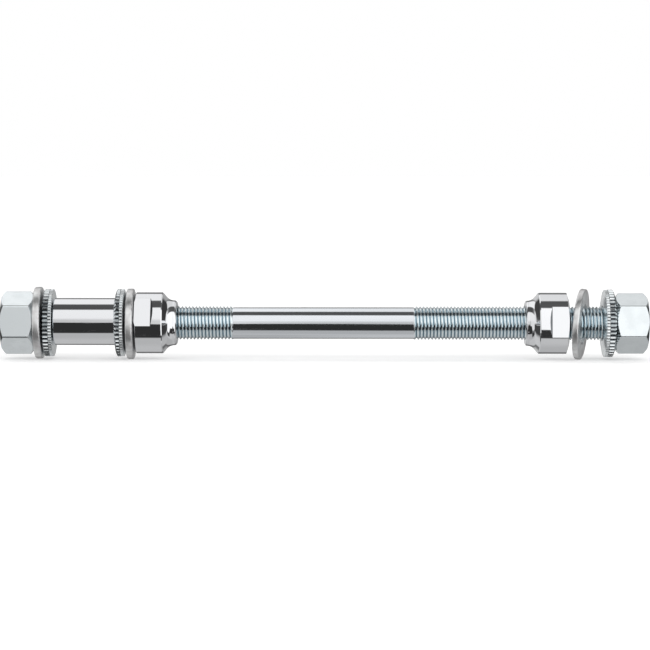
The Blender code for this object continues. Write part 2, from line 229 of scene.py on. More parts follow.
low_card = map_range(sky, part_turn, turn_of(-56.0), turn_of(-52.0), 1.0, 0.0)
low_card_foot = map_range(sky, part_turn, turn_of(-80.0), turn_of(-76.0))
low_card = math_node(sky, "MULTIPLY", low_card, low_card_foot)
low_card = math_node(sky, "MULTIPLY", low_card, map_range(sky, sideways, 0.45, 0.6))
strip = map_range(sky, part_turn, turn_of(-41.0), turn_of(-40.0), 1.0, 0.0)
strip_foot = map_range(sky, part_turn, turn_of(-46.0), turn_of(-45.0))
strip = math_node(sky, "MULTIPLY", strip, strip_foot)
strip = math_node(sky, "MULTIPLY", strip, map_range(sky, sideways, 0.04, 0.05, 1.0, 0.0))

lit_bands = mixed(sky, low_card, lit_bands, grey(LOW_CARD_LEVEL))
lit_bands = mixed(sky, fill, lit_bands, fill_level)
lit_bands = mixed(sky, strip, lit_bands, grey(SHORT_STRIP_LEVEL))
print("nodes for bands and cards:", len(sky.nodes))

# %% [markdown]
# ## Side walls and back card
# Faces that slope, such as a race or a chamfer, look to the sides. Walls stand there, with a dark
# stretch at the height of the set, longer behind it than in front. They give the nuts' corners
# and the races their black parts. A card straight behind the set adds light where metal is seen at
# a glancing angle. In front the room grows a little brighter to the right, and behind to the left.

# %% Side walls and back card
WALLS_FRONT = [
    (-1.0, 0.55), (-0.44, 0.55), (-0.35, 0.06), (-0.06, 0.06), (0.02, 0.95), (1.0, 0.9),
]
WALLS_BACK = [
    (-1.0, 0.55), (-0.44, 0.55), (-0.35, 0.05), (0.6, 0.05), (0.75, 0.75), (1.0, 0.85),
]
WALLS_FROM = 0.76
WALLS_TO = 0.82
BACK_CARD_LEFT = 0.60
BACK_CARD_RIGHT = 0.34
SWEEP = 0.8
SWEEP_LIMIT = 0.12
WALLS_REACH_BEHIND = 0.3
BACK_CARD_REACH_ASIDE = 0.5

height = map_range(sky, dir_z, -1.0, 1.0, shape="LINEAR")
walls_front = ramp_of(sky, WALLS_FRONT, -1.0, 1.0)
walls_back = ramp_of(sky, WALLS_BACK, -1.0, 1.0)
sky.links.new(height, walls_front.inputs[0])
sky.links.new(height, walls_back.inputs[0])
behind = map_range(sky, dir_y, -0.05, 0.12)
walls = mixed(sky, behind, walls_front.outputs[0], walls_back.outputs[0])
to_walls = math_node(sky, "MULTIPLY", dir_y, WALLS_REACH_BEHIND)
to_walls = math_node(sky, "ADD", sideways, to_walls)
room = mixed(sky, map_range(sky, to_walls, WALLS_FROM, WALLS_TO), lit_bands, walls)

lean = math_node(sky, "MULTIPLY", map_range(sky, front, -0.3, 0.3, -SWEEP, SWEEP), dir_x)
lean = math_node(sky, "MINIMUM", math_node(sky, "MAXIMUM", lean, -SWEEP_LIMIT), SWEEP_LIMIT)
gain = math_node(sky, "ADD", lean, 1.0)
to_card = math_node(sky, "MULTIPLY", sideways, BACK_CARD_REACH_ASIDE)
to_card = math_node(sky, "ADD", dir_y, to_card)
card_level = map_range(sky, dir_x, -0.2, 0.2, BACK_CARD_LEFT, BACK_CARD_RIGHT)
card = math_node(sky, "MULTIPLY", map_range(sky, to_card, 0.95, 1.05), card_level)
studio = sky.nodes.new("ShaderNodeBackground")
sky.links.new(mixed(sky, 1.0, room, gain, "MULTIPLY"), studio.inputs["Color"])
card_light = sky.nodes.new("ShaderNodeBackground")
sky.links.new(card, card_light.inputs["Strength"])
both = sky.nodes.new("ShaderNodeAddShader")
sky.links.new(studio.outputs[0], both.inputs[0])
sky.links.new(card_light.outputs[0], both.inputs[1])
print("nodes in the room:", len(sky.nodes))

# %% [markdown]
# ## Backdrop and overhead lamp
# Only the camera sees the plain white behind the set, so it puts no light on the metal. One wide
# soft lamp shines from above. The metal doesn't mirror it, as the bands are what it should show,
# but the floor takes it, and that is where the soft shadow under the set comes from.

# %% Backdrop and overhead lamp
OVERHEAD_ENERGY = 0.7
OVERHEAD_SPREAD = math.radians(120.0)
OVERHEAD_TILT = math.radians(8.0)

white = sky.nodes.new("ShaderNodeBackground")
white.inputs["Color"].default_value = grey(1.0)
rays = sky.nodes.new("ShaderNodeLightPath")
choose = sky.nodes.new("ShaderNodeMixShader")
sky.links.new(rays.outputs["Is Camera Ray"], choose.inputs[0])
sky.links.new(both.outputs[0], choose.inputs[1])
sky.links.new(white.outputs[0], choose.inputs[2])
sky.links.new(choose.outputs[0], sky.nodes.new("ShaderNodeOutputWorld").inputs[0])
sun = bpy.data.lights.new("soft_overhead", "SUN")
sun.energy = OVERHEAD_ENERGY
sun.angle = OVERHEAD_SPREAD
overhead = bpy.data.objects.new("soft_overhead", sun)
overhead.rotation_euler = (OVERHEAD_TILT, 0.0, 0.0)
overhead.visible_glossy = False
bpy.context.collection.objects.link(overhead)
print("overhead lamp:", overhead.name, sun.energy)

# %% [markdown]
# ## Floor
# A white sheet lies under the set. It is part white paint, which keeps the soft shadow, and part
# plain glow, which keeps the rest of it white. The metal doesn't reflect it: the studio's own
# lower band is its light there, so a reflection doesn't depend on how near the floor is.

# %% Floor
FLOOR_REACH = 6.0
FLOOR_PAINT = 0.86
FLOOR_GLOW = 0.4

floor_shape = bmesh.new()
bmesh.ops.create_grid(floor_shape, x_segments=1, y_segments=1, size=FLOOR_REACH)
floor_mesh = bpy.data.meshes.new("floor")
floor_shape.to_mesh(floor_mesh)
floor_shape.free()
floor = bpy.data.objects.new("floor", floor_mesh)
bpy.context.collection.objects.link(floor)
floor.visible_glossy = False
floor_finish = bpy.data.materials.new("white_sheet")
floor_finish.use_nodes = True
floor_shader = floor_finish.node_tree.nodes["Principled BSDF"]
floor_shader.inputs["Base Color"].default_value = grey(FLOOR_PAINT)
floor_shader.inputs["Roughness"].default_value = 1.0
floor_shader.inputs["Specular IOR Level"].default_value = 0.0
floor_shader.inputs["Emission Color"].default_value = grey(1.0)
floor_shader.inputs["Emission Strength"].default_value = FLOOR_GLOW
floor_mesh.materials.append(floor_finish)
print("floor size in m:", round(floor.dimensions.x, 1))

# %% [markdown]
# ## Turning on the lathe
# All twelve pieces are round or start from a round blank, so one helper does most of the work. It
# takes half a cross-section, as (x, radius) points, and spins it about the X axis, as a lathe
# does. The Screw modifier would do the same, but a spun mesh can be cut and bevelled at once. A
# second helper puts the shape in its place and rounds its edges or marks them sharp.

# %% Helpers for turned pieces
TURN_STEPS = 160
NEAR = 0.01 * MM
SAME_POINT = 1e-7


def spun(profile, steps=TURN_STEPS):
    """Spin a closed profile of (x, radius) points about X."""
    shape = bmesh.new()
    points = [shape.verts.new((x, 0.0, radius)) for x, radius in profile]
    edges = [shape.edges.new(pair) for pair in zip(points, points[1:] + points[:1])]
    bmesh.ops.spin(
        shape, geom=points + edges, cent=(0, 0, 0), axis=(1, 0, 0),
        angle=math.tau, steps=steps, use_merge=True,
    )
    bmesh.ops.remove_doubles(shape, verts=shape.verts, dist=SAME_POINT)
    bmesh.ops.recalc_face_normals(shape, faces=shape.faces)
    return shape


def arc(centre, radius, start, end, steps):
    """Points on a round stretch of a profile, with angles in degrees from +X towards +radius."""
    found = []
    for step in range(steps + 1):
        at = math.radians(start + (end - start) * step / steps)
        found.append((centre[0] + radius * math.cos(at), centre[1] + radius * math.sin(at)))
    return found


def finished(name, shape, place, sharp=30.0, edge=None, edge_limit=22.0):
    """Put a shape in its place and make it an object; edge is the width of its edge rounding."""
    bmesh.ops.transform(shape, matrix=place, verts=shape.verts)
    mesh = bpy.data.meshes.new(name)
    shape.to_mesh(mesh)
    shape.free()
    mesh.shade_smooth()
    made = bpy.data.objects.new(name, mesh)
    bpy.context.collection.objects.link(made)
    if edge:
        rounding = made.modifiers.new("edge_rounding", "BEVEL")
        rounding.width = edge
        rounding.segments = 3
        rounding.limit_method = "ANGLE"
        rounding.angle_limit = math.radians(edge_limit)
        rounding.use_clamp_overlap = True
        rounding.harden_normals = True
    else:
        mesh.set_sharp_from_angle(angle=math.radians(sharp))
    return made


def stand_for(made, node, body, finish):
    """Let a piece stand for its solid, ride on its body and take its finish."""
    made.data.materials.clear()
    made.data.materials.append(finish)
    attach(made, body)
    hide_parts(node)


def centre_of(node):
    low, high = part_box(node)
    return (low + high) / 2


def on_axis(x):
    return Matrix.Translation((x, 0.0, AXIS_HEIGHT))


print("a full turn has", TURN_STEPS, "steps")

# %% [markdown]
# ## Finishes
# The set has two kinds of plate. Chrome on the cones and the spacer is a mirror with faint rubbing
# marks. Zinc on the nuts, locknuts, washers and axle is softer, slightly blue and mottled, because
# the bath deposits it unevenly. Each finish reads object coordinates in metres, so its marks keep
# their real size. The pieces carry a few values of their own for it: a groove value tells how deep
# a point lies between teeth or in the thread, and so how much painted shade it gets, "plain" marks
# the shank, "turned" a smooth chamfer and "milled" the slope where a cutter lifted, which gets a
# painted dark reflection. An image could do the same but would need a UV map.

# %% Finish helpers
GRAIN_PER_MM = 5.0
GRAIN_DEPTH = 0.004 * MM
RUBS_PER_MM = 1.6
SWELL_PER_MM = 0.35
SWELL_DEPTH = 0.012 * MM
# Near-black painted dark reflection for the slanted run-out of the cones' milled flats.
PAINTED_RUNOUT_DARKNESS = (0.16, 0.17, 0.18, 1.0)
SHANK_COLOUR = (0.84, 0.87, 0.91, 1.0)
SHANK_ROUGHNESS = 0.1
TURNED_SMOOTHNESS = 0.3


def plated(name, colour, roughness):
    """A metal with its plain values set on the shader; returns material, node tree and shader."""
    material = bpy.data.materials.new(name)
    material.use_nodes = True
    shader = material.node_tree.nodes["Principled BSDF"]
    shader.inputs["Base Color"].default_value = colour
    shader.inputs["Metallic"].default_value = 1.0
    shader.inputs["Roughness"].default_value = roughness
    return material, material.node_tree, shader


def object_place(tree, stretch=(1.0, 1.0, 1.0)):
    """Object coordinates, stretched so that a pattern is drawn out along an axis."""
    mapping = tree.nodes.new("ShaderNodeMapping")
    mapping.inputs["Scale"].default_value = stretch
    tree.links.new(tree.nodes.new("ShaderNodeTexCoord").outputs["Object"], mapping.inputs[0])
    return mapping.outputs[0]


def speckle(tree, place, grains_per_mm, detail=3.0):
    """Soft noise with so many grains to the millimetre."""
    noise = tree.nodes.new("ShaderNodeTexNoise")
    noise.inputs["Scale"].default_value = grains_per_mm / MM
    noise.inputs["Detail"].default_value = detail
    tree.links.new(place, noise.inputs["Vector"])
    return noise.outputs[0]


def bump(tree, shader, height, depth, strength=1.0):
    """Raise the surface by a height socket, over so many metres."""
    node = tree.nodes.new("ShaderNodeBump")
    node.inputs["Strength"].default_value = strength
    node.inputs["Distance"].default_value = depth
    tree.links.new(height, node.inputs["Height"])
    tree.links.new(node.outputs[0], shader.inputs["Normal"])


def zinc(name, pale, dull, roughness, mottle_per_mm, groove_shade=None, grain=0.6):
    """Mottled zinc plate, smoother where turned; the groove colour is a painted shade between teeth
    and in thread roots.
    """
    material, tree, shader = plated(name, pale, roughness)
    mottle = speckle(tree, object_place(tree), mottle_per_mm, 4.0)
    share = map_range(tree, mottle, 0.35, 0.68)
    colour = mixed(tree, share, pale, dull)
    # Painted shade: the deeper a point lies between teeth or in the thread, the more its colour turns
    # to the groove colour.
    if groove_shade:
        depth = tree.nodes.new("ShaderNodeAttribute")
        depth.attribute_name = "groove_shade"
        colour = mixed(tree, map_range(tree, depth.outputs["Fac"], 0.3, 1.0), colour, groove_shade)
    tree.links.new(colour, shader.inputs["Base Color"])
    rough = map_range(tree, mottle, 0.3, 0.7, roughness * 0.85, roughness * 1.2)
    turned = tree.nodes.new("ShaderNodeAttribute")
    turned.attribute_name = "turned"
    smoother = map_range(tree, turned.outputs["Fac"], 0.0, 1.0, 1.0, TURNED_SMOOTHNESS)
    tree.links.new(math_node(tree, "MULTIPLY", rough, smoother), shader.inputs["Roughness"])
    bump(tree, shader, speckle(tree, object_place(tree), GRAIN_PER_MM, 2.0), GRAIN_DEPTH, grain)
    return material


def chrome(name, colour, roughness):
    """Mirror chrome with faint rubbing marks along the axle, and a near-black painted dark reflection
    on the milled run-out.
    """
    material, tree, shader = plated(name, colour, roughness)
    rubs = speckle(tree, object_place(tree, (0.12, 1.0, 1.0)), RUBS_PER_MM, 5.0)
    rough = map_range(tree, rubs, 0.45, 0.75, roughness, roughness * 2.6)
    tree.links.new(rough, shader.inputs["Roughness"])
    swell = speckle(tree, object_place(tree, (0.35, 1.0, 1.0)), SWELL_PER_MM, 2.0)
    bump(tree, shader, swell, SWELL_DEPTH, 0.5)
    # Painted dark reflection: faces marked as milled are coloured near black.
    cut = tree.nodes.new("ShaderNodeAttribute")
    cut.attribute_name = "milled"
    tree.links.new(mixed(tree, cut.outputs["Fac"], colour, PAINTED_RUNOUT_DARKNESS), shader.inputs["Base Color"])
    return material


def bar_finish():
    """The axle: bluish zinc on the thread, with painted shade in its roots, and brighter plate on the
    plain shank.
    """
    # The colour given for the grooves is a painted shade in the thread's roots.
    material = zinc(
        "axle_plate", (0.92, 0.98, 1.00, 1.0), (0.82, 0.92, 0.97, 1.0), 0.16, 1.2,
        groove_shade=(0.29, 0.40, 0.46, 1.0),
    )
    tree = material.node_tree
    shader = tree.nodes["Principled BSDF"]
    plain = tree.nodes.new("ShaderNodeAttribute")
    plain.attribute_name = "plain"
    for socket, value in (("Base Color", SHANK_COLOUR), ("Roughness", grey(SHANK_ROUGHNESS))):
        found = shader.inputs[socket].links[0].from_socket
        tree.links.new(mixed(tree, plain.outputs["Fac"], found, value), shader.inputs[socket])
    return material


print("colour where the mill cut:", PAINTED_RUNOUT_DARKNESS[:3])

# %% [markdown]
# ## The five finishes
# The nuts are almost clean and satin, the washers dull and grey, and the locknuts get a near-black
# painted shade between their teeth. The axle's plate is the bluest, with a lighter painted shade in
# its thread's roots. One zinc for all would be shorter, but in the photograph the pieces differ
# clearly, so each kind has its own colours and its own roughness.

# %% The five finishes
NUT_ZINC = zinc("nut_zinc", (0.88, 0.93, 0.95, 1.0), (0.84, 0.89, 0.91, 1.0), 0.19, 0.3, grain=0.1)
WASHER_ZINC = zinc("washer_zinc", (0.91, 0.92, 0.92, 1.0), (0.76, 0.75, 0.75, 1.0), 0.37, 0.6)
CHROME = chrome("bright_plate", (0.87, 0.88, 0.90, 1.0), 0.045)
THREAD_ZINC = bar_finish()
# The locknuts' groove colour is a near-black painted shade between their teeth and in the groove
# between the rows.
LOCKNUT_ZINC = zinc(
    "locknut_zinc", (0.94, 0.97, 0.98, 1.0), (0.84, 0.89, 0.91, 1.0), 0.22, 1.1,
    groove_shade=(0.03, 0.04, 0.05, 1.0),
)
print("materials so far:", len(bpy.data.materials))

# %% [markdown]
# ## Axle
# The bar has a rolled thread of 26 turns to the inch at each end and a plain shank between. A
# thread is a profile of one turn that climbs as it goes round, and bmesh's spin does just that
# when it is given a step along the axis. One turn is spun and copied along the bar, which is far
# quicker than one long spin. The strip is cut off square by planes at both its ends. At the shank
# the grooves run out, and at the bar's end a chamfer is turned.

# %% Thread helpers
THREAD_PITCH = 25.4 * MM / 26
THREAD_DEPTH = 0.58 * MM
THREAD_STEPS = 48
CREST_SHARE = 0.06
RUNOUT_TURNS = 0.5
LEFT_THREAD_LENGTH = 64.3 * MM
RIGHT_THREAD_LENGTH = 65.0 * MM
SHANK_STEP = 0.3125 * MM
AXLE_SHARP = 40.0
LEAD_IN_TURNS = 2.5
SPARE_TURNS = 4
THREAD_WELD = 0.002 * MM
crest_radius = (axle_high.z - axle_low.z) / 2
root_radius = crest_radius - THREAD_DEPTH
shank_radius = crest_radius - SHANK_STEP
shank_from = axle_low.x + LEFT_THREAD_LENGTH
shank_to = axle_high.x - RIGHT_THREAD_LENGTH


def thread_share(x):
    """1 on the thread, 0 on the shank, and between them where the grooves run out."""
    to_shank = max(shank_from - x, x - shank_to)
    fade = min(max(to_shank / (RUNOUT_TURNS * THREAD_PITCH), 0.0), 1.0)
    return fade * fade * (3.0 - 2.0 * fade)


def one_turn():
    """One turn of right-handed thread, as a mesh."""
    flank = (0.5 - CREST_SHARE) * THREAD_PITCH
    crest = CREST_SHARE * THREAD_PITCH
    rounding = 0.05 * THREAD_DEPTH
    profile = [
        (0.0, root_radius),
        (crest, root_radius + rounding),
        (flank, crest_radius - rounding),
        (THREAD_PITCH / 2, crest_radius),
        (THREAD_PITCH - flank, crest_radius - rounding),
        (THREAD_PITCH - crest, root_radius + rounding),
        (THREAD_PITCH, root_radius),
    ]
    shape = bmesh.new()
    points = [shape.verts.new((x, 0.0, radius)) for x, radius in profile]
    edges = [shape.edges.new(pair) for pair in zip(points, points[1:])]
    bmesh.ops.spin(
        shape, geom=points + edges, cent=(0, 0, 0), axis=(1, 0, 0),
        dvec=(THREAD_PITCH / THREAD_STEPS, 0, 0), angle=math.tau, steps=THREAD_STEPS,
    )
    mesh = bpy.data.meshes.new("one_turn")
    shape.to_mesh(mesh)
    shape.free()
    return mesh


def thread_strip(shape, turn, end, run_out):
    """Add a thread from the bar's end to where it runs out at the shank."""
    strip = bmesh.new()
    start = min(end, run_out) - LEAD_IN_TURNS * THREAD_PITCH
    for index in range(math.ceil(abs(run_out - end) / THREAD_PITCH) + SPARE_TURNS):
        strip.from_mesh(turn)
        strip.verts.ensure_lookup_table()
        added = strip.verts[-len(turn.vertices):]
        bmesh.ops.translate(strip, verts=added, vec=(start + index * THREAD_PITCH, 0, 0))
    bmesh.ops.remove_doubles(strip, verts=strip.verts, dist=THREAD_WELD)
    inwards = 1.0 if run_out > end else -1.0
    for vert in strip.verts:
        radius = math.hypot(vert.co.y, vert.co.z)
        wanted = shank_radius + (radius - shank_radius) * thread_share(vert.co.x)
        from_end = (vert.co.x - end) * inwards
        wanted = min(wanted, crest_radius - THREAD_PITCH + max(from_end, 0.0))
        vert.co.y *= wanted / radius
        vert.co.z *= wanted / radius
    for plane_x, outwards in ((end, -inwards), (run_out, inwards)):
        bmesh.ops.bisect_plane(
            strip, geom=list(strip.verts) + list(strip.edges) + list(strip.faces),
            dist=SAME_POINT, plane_co=(plane_x, 0, 0), plane_no=(outwards, 0, 0), clear_outer=True,
        )
    mesh = bpy.data.meshes.new("strip")
    strip.to_mesh(mesh)
    strip.free()
    shape.from_mesh(mesh)
    bpy.data.meshes.remove(mesh)


def open_rim(shape, x):
    """The open edges that lie in the plane at x."""
    return [
        edge for edge in shape.edges
        if edge.is_boundary and all(abs(vert.co.x - x) < 10 * SAME_POINT for vert in edge.verts)
    ]


print("thread depth in mm:", round((crest_radius - root_radius) / MM, 2))

# %% [markdown]
# ## Bar of the axle
# Both threads go into one mesh, and the shank is the plain bridge between their open rims. The
# ends are filled flat. A thread laid on a separate bar would be easier, but it would leave faces
# inside the metal. The point values for the finish are measured from the radius of each point, and
# the depth in the thread sets its painted shade.

# %% Bar of the axle
turn = one_turn()
bar = bmesh.new()
thread_strip(bar, turn, axle_low.x, shank_from)
thread_strip(bar, turn, axle_high.x, shank_to)
bpy.data.meshes.remove(turn)
bmesh.ops.bridge_loops(bar, edges=open_rim(bar, shank_from) + open_rim(bar, shank_to))
for end in (axle_low.x, axle_high.x):
    bmesh.ops.edgeloop_fill(bar, edges=open_rim(bar, end))
bmesh.ops.recalc_face_normals(bar, faces=bar.faces)
bar.verts.layers.float.new("groove_shade")
bar.verts.layers.float.new("plain")
groove_shade = bar.verts.layers.float["groove_shade"]
plain = bar.verts.layers.float["plain"]
for vert in bar.verts:
    share = thread_share(vert.co.x)
    crest = shank_radius + (crest_radius - shank_radius) * share
    # Painted shade: deeper points in the thread take more of the groove colour.
    vert[groove_shade] = (crest - math.hypot(vert.co.y, vert.co.z)) / THREAD_DEPTH
    vert[plain] = 1.0 - share
open_edges = sum(edge.is_boundary for edge in bar.edges)
print("axle faces:", len(bar.faces), "open edges:", open_edges)
axle = finished("threaded_axle", bar, on_axis(0.0), sharp=AXLE_SHARP)
stand_for(axle, "axle", "axle", THREAD_ZINC)

# %% [markdown]
# ## Hexagon nuts
# A nut is cut from hexagon bar, and both its ends are turned to a chamfer, which leaves the curved
# ends of the flats. Here it goes the other way round: a chamfered blank is spun, and the points on
# its rim are pulled in onto six flats. A point that comes in also moves out along the chamfer's
# slope, so that the curve where flat and chamfer meet is the true one. The six long ridges are
# rounded in the mesh, and a fine Bevel modifier breaks the other edges.

# %% Hexagon nuts
NUT_STEPS = 144
NUT_END_MARGIN = 0.15 * MM
NUT_CORNER_FALL = 1.05 * MM
NUT_BORE_CHAMFER = 0.5 * MM
NUT_EDGE = 0.36 * MM
RIM_EDGE = 0.07 * MM
CHAMFER_SLOPES = (0.3, 0.95)
BORE_RADIUS = crest_radius + 0.25 * MM
NUT_LEFT = ("axle_nut_left", 15.5 * MM, math.radians(5.6))
NUT_RIGHT = ("axle_nut_right", 15.0 * MM, math.radians(8.2))


def hexagon_nut(width, across_flats):
    """A chamfered hexagon nut about X, with its chamfers marked as turned."""
    half = width / 2
    to_flat = across_flats / 2
    corner = to_flat / math.cos(math.pi / 6)
    end_radius = to_flat - NUT_END_MARGIN
    slope = NUT_CORNER_FALL / (corner - end_radius)
    shape = spun(
        [
            (-half, BORE_RADIUS + NUT_BORE_CHAMFER), (-half, end_radius),
            (NUT_CORNER_FALL - half, corner), (half - NUT_CORNER_FALL, corner),
            (half, end_radius), (half, BORE_RADIUS + NUT_BORE_CHAMFER),
            (half - NUT_BORE_CHAMFER, BORE_RADIUS), (NUT_BORE_CHAMFER - half, BORE_RADIUS),
        ],
        steps=NUT_STEPS,
    )
    for vert in shape.verts:
        radius = math.hypot(vert.co.y, vert.co.z)
        if radius < corner - NEAR:
            continue
        around = math.atan2(vert.co.z, -vert.co.y)
        off_flat = (around + math.pi / 6) % (math.pi / 3) - math.pi / 6
        wanted = to_flat / math.cos(off_flat)
        vert.co.y *= wanted / radius
        vert.co.z *= wanted / radius
        vert.co.x = math.copysign(half - slope * (wanted - end_radius), vert.co.x)
    ridges = [
        edge for edge in shape.edges
        if edge.calc_length() > half
        and min(math.hypot(vert.co.y, vert.co.z) for vert in edge.verts) > corner - NEAR
    ]
    bmesh.ops.bevel(
        shape, geom=ridges, offset=NUT_EDGE, offset_type="OFFSET", segments=4, profile=0.5,
        affect="EDGES", material=-1, clamp_overlap=False,
    )
    shape.normal_update()
    turned = shape.faces.layers.float.new("turned")
    for face in shape.faces:
        face[turned] = float(CHAMFER_SLOPES[0] < abs(face.normal.x) < CHAMFER_SLOPES[1])
    return shape


for node, across_flats, lean in (NUT_LEFT, NUT_RIGHT):
    low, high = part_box(node)
    shape = hexagon_nut(high.x - low.x, across_flats)
    place = on_axis((low.x + high.x) / 2) @ Matrix.Rotation(-lean, 4, "X")
    nut = finished("hexagon_" + node, shape, place, edge=RIM_EDGE)
    stand_for(nut, node, node, NUT_ZINC)
    print(node, "across flats in mm:", round(across_flats / MM, 1))

# %% [markdown]
# ## Plain washers
# A washer is punched from sheet, so its rim is rounded by the tool and its faces are flat. It
# could be a flattened cylinder with a bevel, but a spun profile with round rim corners gives an
# even reflection. The outer washer leans a little, and the loose one stands askew on the thread.
# Each row below gives a washer's thickness, bore radius, lean and yaw.

# %% Plain washers
RIM_ROUNDING = 0.45 * MM
BORE_ROUNDING = 0.15 * MM
WASHERS = (
    ("outer_washer_left", 2.1 * MM, 5.2 * MM, math.radians(-0.8), 0.0),
    ("inner_washer_left", 2.0 * MM, 5.7 * MM, 0.0, 0.0),
    ("loose_washer_right", 1.75 * MM, 5.7 * MM, math.radians(4.0), math.radians(14.5)),
)


def washer_profile(radius, bore, thickness):
    """Half a washer's section, with rounded corners at its rim and bore."""
    half = thickness / 2
    rim_at = half - RIM_ROUNDING
    bore_at = half - BORE_ROUNDING
    return (
        arc((rim_at, radius - RIM_ROUNDING), RIM_ROUNDING, 0.0, 90.0, 6)
        + arc((-rim_at, radius - RIM_ROUNDING), RIM_ROUNDING, 90.0, 180.0, 6)
        + arc((-bore_at, bore + BORE_ROUNDING), BORE_ROUNDING, 180.0, 270.0, 3)
        + arc((bore_at, bore + BORE_ROUNDING), BORE_ROUNDING, 270.0, 360.0, 3)
    )


for node, thickness, bore, lean, yaw in WASHERS:
    low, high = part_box(node)
    upright = (high.z - low.z) / 2 - (thickness / 2 - RIM_ROUNDING) * abs(math.sin(lean))
    radius = RIM_ROUNDING + (upright - RIM_ROUNDING) / math.cos(lean)
    shape = spun(washer_profile(radius, bore, thickness))
    turned = Matrix.Rotation(-yaw, 4, "Z") @ Matrix.Rotation(lean, 4, "Y")
    washer = finished("plain_" + node, shape, Matrix.Translation(centre_of(node)) @ turned)
    stand_for(washer, node, node, WASHER_ZINC)
    print(node, "radius in mm:", round(radius / MM, 3))

# %% [markdown]
# ## Toothed locknuts
# Each locknut bites the frame or the spacer with a crown of teeth. The teeth run over the bevel
# and half of the rim, and a second, finer row stands behind a thin groove. A gear could be cut by
# a Boolean for each tooth. Moving the spun points in and out by a tooth curve is lighter, and the
# two rows can have their own counts. Each row below gives a ring's node and body, the side that its
# crown faces, how far its face stands back, the height of its back slope and how far its back
# stands in. The insets let the rings and the spacer tube meet as in the photograph.

# %% Toothed locknuts
CROWN_TEETH = 48
FINE_TEETH = 64
CROWN_DEPTH = 0.55 * MM
FINE_DEPTH = 0.2 * MM
LOCKNUT_STEPS = 384
RING_SHARP = 24.0
BEVEL_WIDTH = 0.5 * MM
BEVEL_HEIGHT = 1.2 * MM
BEVEL_BULGE = 0.6
CROWN_TO = 1.8 * MM
GROOVE_WIDTH = 0.16 * MM
GROOVE_DEPTH = 0.25 * MM
FINE_TO = 2.75 * MM
FINE_STEP = 0.05 * MM
FINE_FALL = 0.2 * MM
RING_BORE_CHAMFER = 0.3 * MM
CROWN_SHARPNESS = 0.6
FINE_SHARPNESS = 2.0
# FINE_DARKNESS scales the painted shade in the fine row's roots.
FINE_DARKNESS = 0.6
FACE_INSET = 0.45 * MM
BACK_INSET = 0.6 * MM
LOCKNUTS = (
    ("locknut_left", "axle", 1.0, 0.0, 2.3 * MM, BACK_INSET),
    ("inner_locknut_left", "axle", 1.0, FACE_INSET, 1.4 * MM, 0.0),
    ("locknut_right", "locknut_right", -1.0, 0.0, 2.45 * MM, 0.0),
)


def tooth(around, count, sharpness):
    """How deep a toothed rim lies at an angle: 0 on a crest and 1 in a valley."""
    phase = around * count / math.tau % 1.0
    return (1.0 - abs(2.0 * phase - 1.0)) ** sharpness


def locknut_shape(radius, width, start, back_height, back_inset):
    """A toothed ring about X with its crown at x = start; a point value tells how deep it lies and how
    much painted shade it gets.
    """
    face = radius - BEVEL_HEIGHT
    back = radius - back_height
    fine = radius - FINE_STEP
    end = width - back_inset
    chamfer = RING_BORE_CHAMFER
    shape = spun(
        [
            (start, face), (start + BEVEL_WIDTH / 2, face + BEVEL_HEIGHT * BEVEL_BULGE),
            (start + BEVEL_WIDTH, radius), (CROWN_TO, radius),
            (CROWN_TO + GROOVE_WIDTH / 2, radius - GROOVE_DEPTH), (CROWN_TO + GROOVE_WIDTH, fine),
            (FINE_TO, fine), (FINE_TO + FINE_FALL / 2, fine - FINE_FALL), (end, back),
            (end, BORE_RADIUS + chamfer), (end - chamfer, BORE_RADIUS),
            (start + chamfer, BORE_RADIUS), (start, BORE_RADIUS + chamfer),
        ],
        steps=LOCKNUT_STEPS,
    )
    groove_shade = shape.verts.layers.float.new("groove_shade")
    for vert in shape.verts:
        x = vert.co.x
        r = math.hypot(vert.co.y, vert.co.z)
        around = math.atan2(vert.co.z, -vert.co.y)
        depth = 0.0
        if r < face - 10 * NEAR or x > FINE_TO + NEAR:
            continue
        # Painted shade: the crown's valleys are darkened by their depth, the thin groove fully and the
        # fine row's roots partly.
        if x < CROWN_TO + NEAR:
            vert[groove_shade] = tooth(around, CROWN_TEETH, CROWN_SHARPNESS)
            depth = vert[groove_shade] * CROWN_DEPTH
        elif x < CROWN_TO + GROOVE_WIDTH - NEAR:
            vert[groove_shade] = 1.0
        else:
            vert[groove_shade] = FINE_DARKNESS * tooth(around, FINE_TEETH, FINE_SHARPNESS)
            depth = vert[groove_shade] * FINE_DEPTH / FINE_DARKNESS
        vert.co.y *= (r - depth) / r
        vert.co.z *= (r - depth) / r
    return shape


for node, body, towards, start, back_height, back_inset in LOCKNUTS:
    low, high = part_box(node)
    shape = locknut_shape((high.z - low.z) / 2, high.x - low.x, start, back_height, back_inset)
    if towards < 0:
        bmesh.ops.rotate(
            shape, verts=shape.verts, cent=(0, 0, 0), matrix=Matrix.Rotation(math.pi, 3, "Z")
        )
    place = on_axis(low.x if towards > 0 else high.x)
    ring = finished("toothed_" + node, shape, place, sharp=RING_SHARP)
    stand_for(ring, node, body, LOCKNUT_ZINC)
    print(node, "faces:", len(ring.data.polygons))

# %% [markdown]
# ## Spacer tube
# The tube keeps the two left locknuts apart. It is a plain chromed tube with broken edges, and
# its bright bands are only reflections, so its shape has to be clean and its ends thin and sharp.
# It is spun like the rest and made a little longer than its solid, to meet the rings' insets.

# %% Spacer tube
SPACER_WALL = 1.23 * MM
SPACER_EDGE = 0.2 * MM
SPACER_INTO_RING = 0.2 * MM

